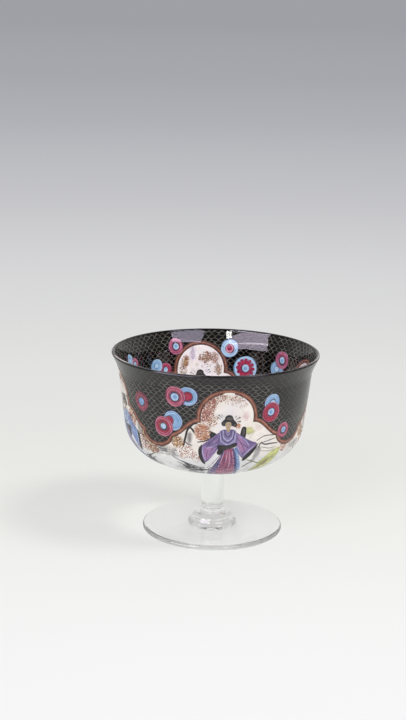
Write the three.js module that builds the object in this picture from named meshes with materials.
import * as THREE from 'three';

// An enamelled glass bowl on a short stem and a round foot, in millimetres, +Z up.
// The origin is the middle of the foot's underside. The glass is four hot-joined
// pieces, and each area of fired enamel is a thin shell of its own on the outside of
// the bowl. Azimuths are in degrees from the front (-Y) towards +X, and depths run
// down from the top of the lip.

// Bowl
const TOTAL_HEIGHT = 107.1;
const RIM_RADIUS = 60;
const FLARE_DEPTH = 10.6;
const FLARE_POWER = 1.37;
const WALL_RADIUS = 52.2;
const WALL_TAPER = 0.12;
const TURN_DEPTH = 40;
const BOWL_DEPTH = 69.3;
const TURN_ROUNDNESS_DOWN = 2.46;
const TURN_ROUNDNESS_OUT = 2.09;
const WALL_THICKNESS = 2;
const BASE_THICKNESS = 4;
const LIP_ROUNDING = WALL_THICKNESS / 2;

// Stem, collar and foot
const STEM_RADIUS = 6.65;
const STEM_END_ROUNDING = 1.3;
const STEM_TOP_FLARE = 1.8;
const STEM_TOP_FLARE_HEIGHT = 3.5;
const COLLAR_OVERHANG = 0.6;
const COLLAR_HEIGHT = 3.3;
const COLLAR_ROUNDING = 1.3;
const FOOT_RADIUS = 41.1;
const FOOT_EDGE_ROUNDING = 1.45;
const FOOT_RISE = 1.1;
const BOSS_RADIUS = 13.6;
const BOSS_FILLET_WIDTH = 2;
const BOSS_FILLET_HEIGHT = 0.9;
const BOSS_SHOULDER_RADIUS = 12;
const BOSS_SHOULDER_HEIGHT = 7.3;
const BOSS_TOP_RADIUS = 7.2;
const BOSS_TOP_HEIGHT = 9.8;
const BOSS_ROUNDING_WIDTH = 2;
const BOSS_ROUNDING_HEIGHT = 1;

// Clearance between pieces that touch, and the thickness of an enamel layer
const GAP = 0.3;
const ENAMEL_THICKNESS = 0.3;

// Enamel layout: four panels under a scalloped ribbon that edges the black ground
const PANEL_COUNT = 4;
const FIRST_PANEL_AZIMUTH = 7.3;
const GROUND_TOP_DEPTH = 3;
const RIBBON_WIDTH = 2.6;
const ARCH_RADIUS = 16.1;
const ARCH_TOP_DEPTH = 9.5;
const ARCH_SWEEP = 94;
const CUSP_AZIMUTH = 34.3;
const CUSP_DEPTH = 36.8;
const PENDANT_DROP = 7.2;
const PANEL_END_ABOVE_BASE = 8;
const SEAM_HALF_WIDTH = 0.6;

// Roundels in the black ground. Those beside an arch lie to its left (side -1) or right
// (side 1), at a share of the way from the ribbon's outer edge to the middle between two
// panels, and the others across from the middle of a pendant. Panel 0 is the front one, and
// pendant 0 lies to its right. A roundel can have another one showing from behind it,
// placed across and down from the front one's middle.
const ROUNDELS = [
  { panel: 0, side: -1, share: 0.521, depth: 14.1, radius: 6.1, tint: 'pink',
    behind: { across: 7.4, down: -0.8, radius: 5.8, tint: 'blue' } },
  { pendant: 3, across: 4.3, depth: 31.3, radius: 5.5, tint: 'pink',
    behind: { across: 5.8, down: -4.4, radius: 5.6, tint: 'blue' } },
  { panel: 3, side: 1, share: 0.64, depth: 21, radius: 5.9, tint: 'pink' },
  { panel: 0, side: 1, share: 0.352, depth: 23.3, radius: 5.8, tint: 'crimson',
    behind: { across: 0.3, down: -5.5, radius: 5.3, tint: 'blue' } },
  { pendant: 0, across: -2.9, depth: 34.8, radius: 4.4, tint: 'pink' },
  { panel: 2, side: 1, share: 0.03, depth: 9.9, radius: 5.2, tint: 'pink' },
  { panel: 2, side: -1, share: 0, depth: 10.6, radius: 5, tint: 'blue' },
  { panel: 2, side: -1, share: 0.428, depth: 21.6, radius: 7.6, tint: 'blue' },
  { panel: 1, side: 1, share: 0.759, depth: 14.6, radius: 5.7, tint: 'pink',
    behind: { across: 4.3, down: 6.5, radius: 5.5, tint: 'blue' } },
  { panel: 3, side: -1, share: 0.453, depth: 11.5, radius: 5.2, tint: 'blue',
    behind: { across: -6.8, down: 3.4, radius: 5, tint: 'pink' } },
  { panel: 2, side: 1, share: 0.636, depth: 19.3, radius: 6.2, tint: 'blue',
    behind: { across: -6.5, down: 3.5, radius: 5.2, tint: 'crimson' } },
  { pendant: 2, across: 0.2, depth: 34.8, radius: 5.6, tint: 'pink',
    behind: { across: 3, down: -4.8, radius: 5.4, tint: 'blue' } },
  { pendant: 1, across: 0, depth: 35.5, radius: 4.8, tint: 'pink' },
];

// A robed figure on each panel, from its collar at ROBE_TOP_DEPTH to its hem above the
// panel's lower edge: the share of that depth, then the left and right edges from the middle.
const ROBE_TOP_DEPTH = 31.5;
const ROBE_HEM_MARGIN = 1.3;
const ROBE_OUTLINE = [
  [0, -2.5, 2.5],
  [0.09, -6, 6],
  [0.23, -9.5, 11],
  [0.37, -12.5, 15],
  [0.475, -14, 14],
  [0.58, -13, 10],
  [0.685, -8, 6.5],
  [0.79, -7.5, 7],
  [0.895, -8, 7.5],
  [1, -8.3, 8],
];
const ROBE_COLUMNS = 6;

// Facets
const BOWL_SEGMENTS = 48;
const STEM_SEGMENTS = 24;
const FLARE_STEPS = 6;
const WALL_STEPS = 4;
const TURN_STEPS = 8;
const ROUNDING_STEPS = 4;
// These three are even, so that a panel keeps the corners when it skips every second point.
const ARCH_STEPS = 8;
const SHOULDER_STEPS = 6;
const PENDANT_STEPS = 4;
const SLOPE_STEP = 0.01;
const GROUND_FLARE_LIMIT = 0.6;
const GROUND_FLARE_SHARES = [0, 0.2, 0.42, 0.68];
const GROUND_WALL_SHARES = [0, 0.5, 1];
const PANEL_WALL_SHARES = [0, 0.45, 0.75, 0.9];
const PANEL_TURN_SHARES = [0, 0.27, 0.5, 0.7, 0.86, 1];
const ROUNDEL_SIDES = 16;
const CRESCENT_STEPS = 10;
const CRESCENT_TIP = 0.05;

const COLOURS = {
  glass: 0xf2f6f5,
  black: 0x15130f,
  copper: 0x8a4a2c,
  cream: 0xf3ead9,
  pink: 0xc4587c,
  crimson: 0xb2203f,
  blue: 0x86b4dc,
};
const ROBE_COLOURS = [0x7d5ba6, 0xa03a5c, 0x4f8f86, 0x4468ad];

const PANEL_SPACING = 360 / PANEL_COUNT;
const LIP_DEPTH = LIP_ROUNDING;
const ARCH_CENTRE_DEPTH = ARCH_TOP_DEPTH + ARCH_RADIUS;
const PANEL_BOTTOM_DEPTH = BOWL_DEPTH - PANEL_END_ABOVE_BASE;
const FOOT_EDGE_HEIGHT = 2 * FOOT_EDGE_ROUNDING;
const BOSS_FOOT_HEIGHT = FOOT_EDGE_HEIGHT + FOOT_RISE;
const COLLAR_LOW = BOSS_TOP_HEIGHT + GAP;
const COLLAR_HIGH = COLLAR_LOW + COLLAR_HEIGHT;
const STEM_LOW = COLLAR_HIGH + GAP;
const STEM_HIGH = TOTAL_HEIGHT - BOWL_DEPTH - GAP;

const radians = THREE.MathUtils.degToRad;
const steps = (count) => Array.from({ length: count + 1 }, (_, i) => i / count);

// Radius of one face of the bowl at a depth. The wall tapers to the turn, flares to
// the lip and closes under the turn as a superellipse.
function faceRadius(depth, inset, bottom) {
  const wall = WALL_RADIUS - inset;
  if (depth <= TURN_DEPTH) {
    const plain = wall + WALL_TAPER * (TURN_DEPTH - depth);
    const plainAtLip = wall + WALL_TAPER * (TURN_DEPTH - LIP_DEPTH);
    const flareStart = Math.max(0, 1 - depth / FLARE_DEPTH);
    const flareShare = (flareStart / (1 - LIP_DEPTH / FLARE_DEPTH)) ** FLARE_POWER;
    return plain + (RIM_RADIUS - inset - plainAtLip) * flareShare;
  }
  const share = Math.min(1, (depth - TURN_DEPTH) / (bottom - TURN_DEPTH));
  const close = (1 - share ** TURN_ROUNDNESS_DOWN) ** (1 / TURN_ROUNDNESS_OUT);
  return wall * close - WALL_TAPER * (depth - TURN_DEPTH) * (1 - share);
}

const outerRadius = (depth) => faceRadius(depth, 0, BOWL_DEPTH);

function outerSlope(depth) {
  const change = outerRadius(depth + SLOPE_STEP) - outerRadius(depth - SLOPE_STEP);
  return change / (2 * SLOPE_STEP);
}

// Depths of one face from the lip to the axis, closer together where it curves.
function faceDepths(bottom) {
  const flare = steps(FLARE_STEPS).map((t) => LIP_DEPTH + (FLARE_DEPTH - LIP_DEPTH) * t);
  const wall = steps(WALL_STEPS).slice(1).map(
    (t) => FLARE_DEPTH + (TURN_DEPTH - FLARE_DEPTH) * t,
  );
  const turn = steps(TURN_STEPS).slice(1).map((t) => {
    const share = Math.sin((t * Math.PI) / 2) ** (2 / TURN_ROUNDNESS_DOWN);
    return TURN_DEPTH + (bottom - TURN_DEPTH) * share;
  });
  return [...flare, ...wall, ...turn];
}

function faceProfile(inset, bottom) {
  return faceDepths(bottom).map((depth, i, depths) => {
    const onAxis = i === depths.length - 1;
    const radius = onAxis ? 0 : faceRadius(depth, inset, bottom);
    return new THREE.Vector2(radius, TOTAL_HEIGHT - depth);
  });
}

function arcPoints(x, y, radius, from, to) {
  return steps(ROUNDING_STEPS).map((t) => {
    const angle = radians(from + (to - from) * t);
    return new THREE.Vector2(x + radius * Math.cos(angle), y + radius * Math.sin(angle));
  });
}

// A lathe turned about Z, from a profile of radius and height.
function turned(profile, segments) {
  const geometry = new THREE.LatheGeometry(profile, segments);
  geometry.rotateX(Math.PI / 2);
  return geometry;
}

function bowlGeometry() {
  const outer = faceProfile(0, BOWL_DEPTH).reverse();
  const inner = faceProfile(WALL_THICKNESS, BOWL_DEPTH - BASE_THICKNESS);
  const lip = arcPoints(
    RIM_RADIUS - LIP_ROUNDING, TOTAL_HEIGHT - LIP_DEPTH, LIP_ROUNDING, 0, 180,
  ).slice(1, -1);
  return turned([...outer, ...lip, ...inner], BOWL_SEGMENTS);
}

function stemGeometry() {
  const flare = steps(ROUNDING_STEPS).map((t) => new THREE.Vector2(
    STEM_RADIUS + STEM_TOP_FLARE * t * t,
    STEM_HIGH - STEM_TOP_FLARE_HEIGHT * (1 - t),
  ));
  const end = STEM_END_ROUNDING;
  return turned([
    new THREE.Vector2(0, STEM_LOW),
    ...arcPoints(STEM_RADIUS - end, STEM_LOW + end, end, -90, 0),
    ...flare,
    new THREE.Vector2(0, STEM_HIGH),
  ], STEM_SEGMENTS);
}

function collarGeometry() {
  const middle = STEM_RADIUS + COLLAR_OVERHANG - COLLAR_ROUNDING;
  return turned([
    new THREE.Vector2(0, COLLAR_LOW),
    ...arcPoints(middle, COLLAR_LOW + COLLAR_ROUNDING, COLLAR_ROUNDING, -90, 0),
    ...arcPoints(middle, COLLAR_HIGH - COLLAR_ROUNDING, COLLAR_ROUNDING, 0, 90),
    new THREE.Vector2(0, COLLAR_HIGH),
  ], STEM_SEGMENTS);
}

// The foot is a disc with a rounded edge that rises gently to a low boss.
function footGeometry() {
  const edge = arcPoints(
    FOOT_RADIUS - FOOT_EDGE_ROUNDING, FOOT_EDGE_ROUNDING, FOOT_EDGE_ROUNDING, -90, 90,
  );
  const boss = new THREE.CubicBezierCurve(
    new THREE.Vector2(BOSS_SHOULDER_RADIUS, BOSS_SHOULDER_HEIGHT),
    new THREE.Vector2(BOSS_SHOULDER_RADIUS, BOSS_TOP_HEIGHT - BOSS_ROUNDING_HEIGHT),
    new THREE.Vector2(BOSS_TOP_RADIUS + BOSS_ROUNDING_WIDTH, BOSS_TOP_HEIGHT),
    new THREE.Vector2(BOSS_TOP_RADIUS, BOSS_TOP_HEIGHT),
  ).getPoints(ROUNDING_STEPS);
  return turned([
    new THREE.Vector2(0, 0),
    ...edge,
    new THREE.Vector2((FOOT_RADIUS + BOSS_RADIUS) / 2, FOOT_EDGE_HEIGHT + FOOT_RISE / 3),
    new THREE.Vector2(BOSS_RADIUS + BOSS_FILLET_WIDTH, BOSS_FOOT_HEIGHT),
    new THREE.Vector2(BOSS_RADIUS, BOSS_FOOT_HEIGHT + BOSS_FILLET_HEIGHT),
    ...boss,
    new THREE.Vector2(0, BOSS_TOP_HEIGHT),
  ], BOWL_SEGMENTS);
}

// A point at a distance outside the bowl's outer face, along its normal.
function onBowl(azimuth, depth, offset) {
  const slope = outerSlope(depth);
  const length = Math.hypot(1, slope);
  const radius = outerRadius(depth) + offset / length;
  const height = TOTAL_HEIGHT - depth + (offset * slope) / length;
  const angle = radians(azimuth);
  return [radius * Math.sin(angle), -radius * Math.cos(angle), height];
}

// The place that lies across and down from a point of the bowl's outer face.
function beside(azimuth, depth, across, down) {
  const newDepth = depth + down / Math.hypot(1, outerSlope(depth));
  const turn = THREE.MathUtils.radToDeg(across / outerRadius(depth));
  return [azimuth + turn, newDepth];
}

// Layer 0 lies next to the glass, and each further layer next to the one below it.
function layerOffsets(layer) {
  const low = GAP + layer * (ENAMEL_THICKNESS + GAP);
  return [low, low + ENAMEL_THICKNESS];
}

// A thin closed shell over a grid of places, where grid[column][row] is azimuth and depth.
// Columns run towards +azimuth and rows run down. A ring joins its last column to its first.
function shellGeometry(grid, layer, ring = false) {
  const columns = grid.length;
  const rows = grid[0].length;
  const positions = layerOffsets(layer).flatMap((offset) => grid.flatMap(
    (column) => column.flatMap(([azimuth, depth]) => onBowl(azimuth, depth, offset)),
  ));
  const at = (side, column, row) => (side * columns + (column % columns)) * rows + row;
  const index = [];
  const quad = (a, b, c, d) => index.push(a, b, c, a, c, d);
  const spans = ring ? columns : columns - 1;
  for (let i = 0; i < spans; i += 1) {
    for (let j = 0; j < rows - 1; j += 1) {
      quad(at(1, i, j), at(1, i, j + 1), at(1, i + 1, j + 1), at(1, i + 1, j));
      quad(at(0, i, j), at(0, i + 1, j), at(0, i + 1, j + 1), at(0, i, j + 1));
    }
    quad(at(0, i, 0), at(1, i, 0), at(1, i + 1, 0), at(0, i + 1, 0));
    quad(at(0, i, rows - 1), at(0, i + 1, rows - 1), at(1, i + 1, rows - 1), at(1, i, rows - 1));
  }
  if (!ring) {
    for (let j = 0; j < rows - 1; j += 1) {
      quad(at(0, 0, j), at(0, 0, j + 1), at(1, 0, j + 1), at(1, 0, j));
      quad(at(0, spans, j), at(1, spans, j), at(1, spans, j + 1), at(0, spans, j + 1));
    }
  }
  return meshGeometry(positions, index);
}

// A round shell: a middle point inside a ring of places.
function discGeometry(centre, rim, layer) {
  const count = rim.length;
  const positions = layerOffsets(layer).flatMap((offset) => [centre, ...rim].flatMap(
    ([azimuth, depth]) => onBowl(azimuth, depth, offset),
  ));
  const index = [];
  for (let i = 0; i < count; i += 1) {
    const a = 1 + i;
    const b = 1 + ((i + 1) % count);
    const over = count + 1;
    index.push(0, a, b);
    index.push(over, over + b, over + a);
    index.push(a, over + a, over + b);
    index.push(a, over + b, b);
  }
  return meshGeometry(positions, index);
}

function meshGeometry(positions, index) {
  const geometry = new THREE.BufferGeometry();
  geometry.setAttribute('position', new THREE.Float32BufferAttribute(positions, 3));
  geometry.setIndex(index);
  geometry.computeVertexNormals();
  return geometry;
}

// The ribbon's middle line from the top of an arch to the bottom of a pendant, as
// azimuth from the panel's middle and depth. It has corners at the arch's foot and
// at the cusp.
function ribbonHalf() {
  const arch = steps(ARCH_STEPS).map((t) => {
    const angle = radians(ARCH_SWEEP * t);
    const across = ARCH_RADIUS * Math.sin(angle);
    const depth = ARCH_CENTRE_DEPTH - ARCH_RADIUS * Math.cos(angle);
    return [beside(0, ARCH_CENTRE_DEPTH, across, 0)[0], depth];
  });
  const [archFoot, archFootDepth] = arch[ARCH_STEPS];
  const shoulder = steps(SHOULDER_STEPS).slice(1).map((t) => [
    archFoot + (CUSP_AZIMUTH - archFoot) * t,
    archFootDepth + (CUSP_DEPTH - archFootDepth) * THREE.MathUtils.smoothstep(t, 0, 1),
  ]);
  const pendant = steps(PENDANT_STEPS).slice(1).map((t) => {
    const angle = (t * Math.PI) / 2;
    const halfWidth = PANEL_SPACING / 2 - CUSP_AZIMUTH;
    const azimuth = PANEL_SPACING / 2 - halfWidth * Math.cos(angle);
    return [azimuth, CUSP_DEPTH + PENDANT_DROP * Math.sin(angle)];
  });
  return [...arch, ...shoulder, ...pendant];
}

// One panel's ribbon, from the pendant on its left to the pendant on its right.
function ribbonLine() {
  const half = ribbonHalf();
  const left = half.slice(1).reverse().map(([azimuth, depth]) => [-azimuth, depth]);
  return [...left, ...half];
}

// Moves each point of an open line sideways, downwards for a positive distance. The
// corners are mitred.
function shifted(line, distance) {
  const scale = radians(1) * WALL_RADIUS;
  const flat = line.map(([azimuth, depth]) => new THREE.Vector2(azimuth * scale, depth));
  return flat.map((point, i) => {
    const before = flat[Math.max(0, i - 1)];
    const after = flat[Math.min(flat.length - 1, i + 1)];
    const inward = point.clone().sub(before).normalize();
    const outward = after.clone().sub(point).normalize();
    const along = inward.clone().add(outward).normalize();
    const bend = Math.max(along.dot(inward), along.dot(outward));
    const side = new THREE.Vector2(-along.y, along.x).multiplyScalar(distance / bend);
    return [(point.x + side.x) / scale, point.y + side.y];
  });
}

const panelAzimuth = (panel) => FIRST_PANEL_AZIMUTH + panel * PANEL_SPACING;

// The same line round all the panels. Each panel's last point is the next one's first.
function aroundBowl(line) {
  return Array.from({ length: PANEL_COUNT }, (_, panel) => line.slice(0, -1).map(
    ([azimuth, depth]) => [azimuth + panelAzimuth(panel), depth],
  )).flat();
}

function ribbonGeometry() {
  const upper = aroundBowl(shifted(ribbonLine(), -RIBBON_WIDTH / 2));
  const lower = aroundBowl(shifted(ribbonLine(), RIBBON_WIDTH / 2));
  return shellGeometry(upper.map((place, i) => [place, lower[i]]), 1, true);
}

const between = (low, high, shares) => shares.map((share) => low + (high - low) * share);

// The ground's rows lie closer together in the flare, which ends higher over an arch.
function groundGeometry() {
  const edge = aroundBowl(shifted(ribbonLine(), -SEAM_HALF_WIDTH));
  const grid = edge.map(([azimuth, depth]) => {
    const limit = GROUND_TOP_DEPTH + (depth - GROUND_TOP_DEPTH) * GROUND_FLARE_LIMIT;
    const flareEnd = Math.min(FLARE_DEPTH, limit);
    const rows = [
      ...between(GROUND_TOP_DEPTH, flareEnd, GROUND_FLARE_SHARES),
      ...between(flareEnd, depth, GROUND_WALL_SHARES),
    ];
    return rows.map((row) => [azimuth, row]);
  });
  return shellGeometry(grid, 0, true);
}

// A panel uses every second point of the ribbon's line, and a seam parts it from the next.
// Below the pendants its rows are level, and closer together towards the base.
function panelGeometry(panel) {
  const top = shifted(ribbonLine(), SEAM_HALF_WIDTH).filter((_, i) => i % 2 === 0);
  const seam = THREE.MathUtils.radToDeg(GAP / WALL_RADIUS);
  const limit = PANEL_SPACING / 2 - seam;
  const levelFrom = CUSP_DEPTH + PENDANT_DROP + RIBBON_WIDTH;
  const grid = top.map(([azimuth, depth]) => {
    const kept = THREE.MathUtils.clamp(azimuth, -limit, limit) + panelAzimuth(panel);
    const rows = [
      ...between(depth, levelFrom, PANEL_WALL_SHARES),
      ...between(levelFrom, PANEL_BOTTOM_DEPTH, PANEL_TURN_SHARES),
    ];
    return rows.map((row) => [kept, row]);
  });
  return shellGeometry(grid, 0);
}

// Every second figure is turned the other way round.
function robeGeometry(panel) {
  const flip = panel % 2 === 0 ? 1 : -1;
  const hem = PANEL_BOTTOM_DEPTH - ROBE_HEM_MARGIN;
  const columns = steps(ROBE_COLUMNS).map((t) => ROBE_OUTLINE.map(([share, left, right]) => {
    const ends = [flip * left, flip * right].sort((a, b) => a - b);
    const across = ends[0] + (ends[1] - ends[0]) * t;
    const depth = ROBE_TOP_DEPTH + (hem - ROBE_TOP_DEPTH) * share;
    return beside(panelAzimuth(panel), depth, across, 0);
  }));
  return shellGeometry(columns, 1);
}

function roundelMiddle(roundel) {
  if (roundel.pendant !== undefined) {
    const middle = panelAzimuth(roundel.pendant) + PANEL_SPACING / 2;
    return beside(middle, roundel.depth, roundel.across, 0);
  }
  const archEdge = ARCH_RADIUS + RIBBON_WIDTH / 2;
  const groundHalfWidth = radians(PANEL_SPACING / 2) * WALL_RADIUS - archEdge;
  const across = roundel.side * (archEdge + groundHalfWidth * roundel.share);
  return beside(panelAzimuth(roundel.panel), roundel.depth, across, 0);
}

function circlePlace(middle, across, down, radius, angle) {
  const [azimuth, depth] = middle;
  return beside(
    azimuth, depth, across + radius * Math.cos(angle), down + radius * Math.sin(angle),
  );
}

function roundelGeometry(roundel) {
  const angles = steps(ROUNDEL_SIDES).slice(0, -1).map((t) => 2 * Math.PI * t);
  const middle = roundelMiddle(roundel);
  const rim = angles.map((angle) => circlePlace(middle, 0, 0, roundel.radius, angle));
  return discGeometry(middle, rim, 1);
}

// What shows of a roundel behind another: the disc less the front disc and a gap.
function crescentGeometry(roundel) {
  const { across, down, radius } = roundel.behind;
  const front = roundel.radius + GAP;
  const apart = Math.hypot(across, down);
  const towardsFront = Math.atan2(-down, -across);
  const openAngle = Math.acos((apart ** 2 + radius ** 2 - front ** 2) / (2 * apart * radius));
  const cutAngle = Math.acos((apart ** 2 + front ** 2 - radius ** 2) / (2 * apart * front));
  const middle = roundelMiddle(roundel);
  const grid = steps(CRESCENT_STEPS).map((t) => {
    const kept = CRESCENT_TIP + (1 - 2 * CRESCENT_TIP) * t;
    const outerAngle = towardsFront + openAngle + kept * (2 * Math.PI - 2 * openAngle);
    const innerAngle = towardsFront + Math.PI - cutAngle + kept * 2 * cutAngle;
    const outer = circlePlace(middle, across, down, radius, outerAngle);
    const inner = circlePlace(middle, 0, 0, front, innerAngle);
    const halfway = [(outer[0] + inner[0]) / 2, (outer[1] + inner[1]) / 2];
    return [outer, halfway, inner];
  });
  return shellGeometry(grid, 1);
}

const part = new THREE.Group();

function addPiece(name, geometry, colour, roughness, metalness = 0) {
  const material = new THREE.MeshStandardMaterial({ color: colour, roughness, metalness });
  const mesh = new THREE.Mesh(geometry, material);
  mesh.name = name;
  part.add(mesh);
}

const GLASS_ROUGHNESS = 0.05;
const ENAMEL_ROUGHNESS = 0.3;
const RIBBON_ROUGHNESS = 0.45;

addPiece('bowl_glass', bowlGeometry(), COLOURS.glass, GLASS_ROUGHNESS);
addPiece('stem', stemGeometry(), COLOURS.glass, GLASS_ROUGHNESS);
addPiece('collar', collarGeometry(), COLOURS.glass, GLASS_ROUGHNESS);
addPiece('foot', footGeometry(), COLOURS.glass, GLASS_ROUGHNESS);
addPiece('black_ground', groundGeometry(), COLOURS.black, ENAMEL_ROUGHNESS);
addPiece('scalloped_ribbon', ribbonGeometry(), COLOURS.copper, RIBBON_ROUGHNESS);

const PANEL_NAMES = ['front', 'right', 'back', 'left'];
PANEL_NAMES.forEach((side, panel) => {
  addPiece(`panel_${side}`, panelGeometry(panel), COLOURS.cream, ENAMEL_ROUGHNESS);
  addPiece(`robe_${side}`, robeGeometry(panel), ROBE_COLOURS[panel], ENAMEL_ROUGHNESS);
});

ROUNDELS.forEach((roundel, i) => {
  const name = `roundel_${String(i + 1).padStart(2, '0')}`;
  addPiece(name, roundelGeometry(roundel), COLOURS[roundel.tint], ENAMEL_ROUGHNESS);
  if (roundel.behind) {
    const tint = COLOURS[roundel.behind.tint];
    addPiece(`${name}_behind`, crescentGeometry(roundel), tint, ENAMEL_ROUGHNESS);
  }
});

export default part;
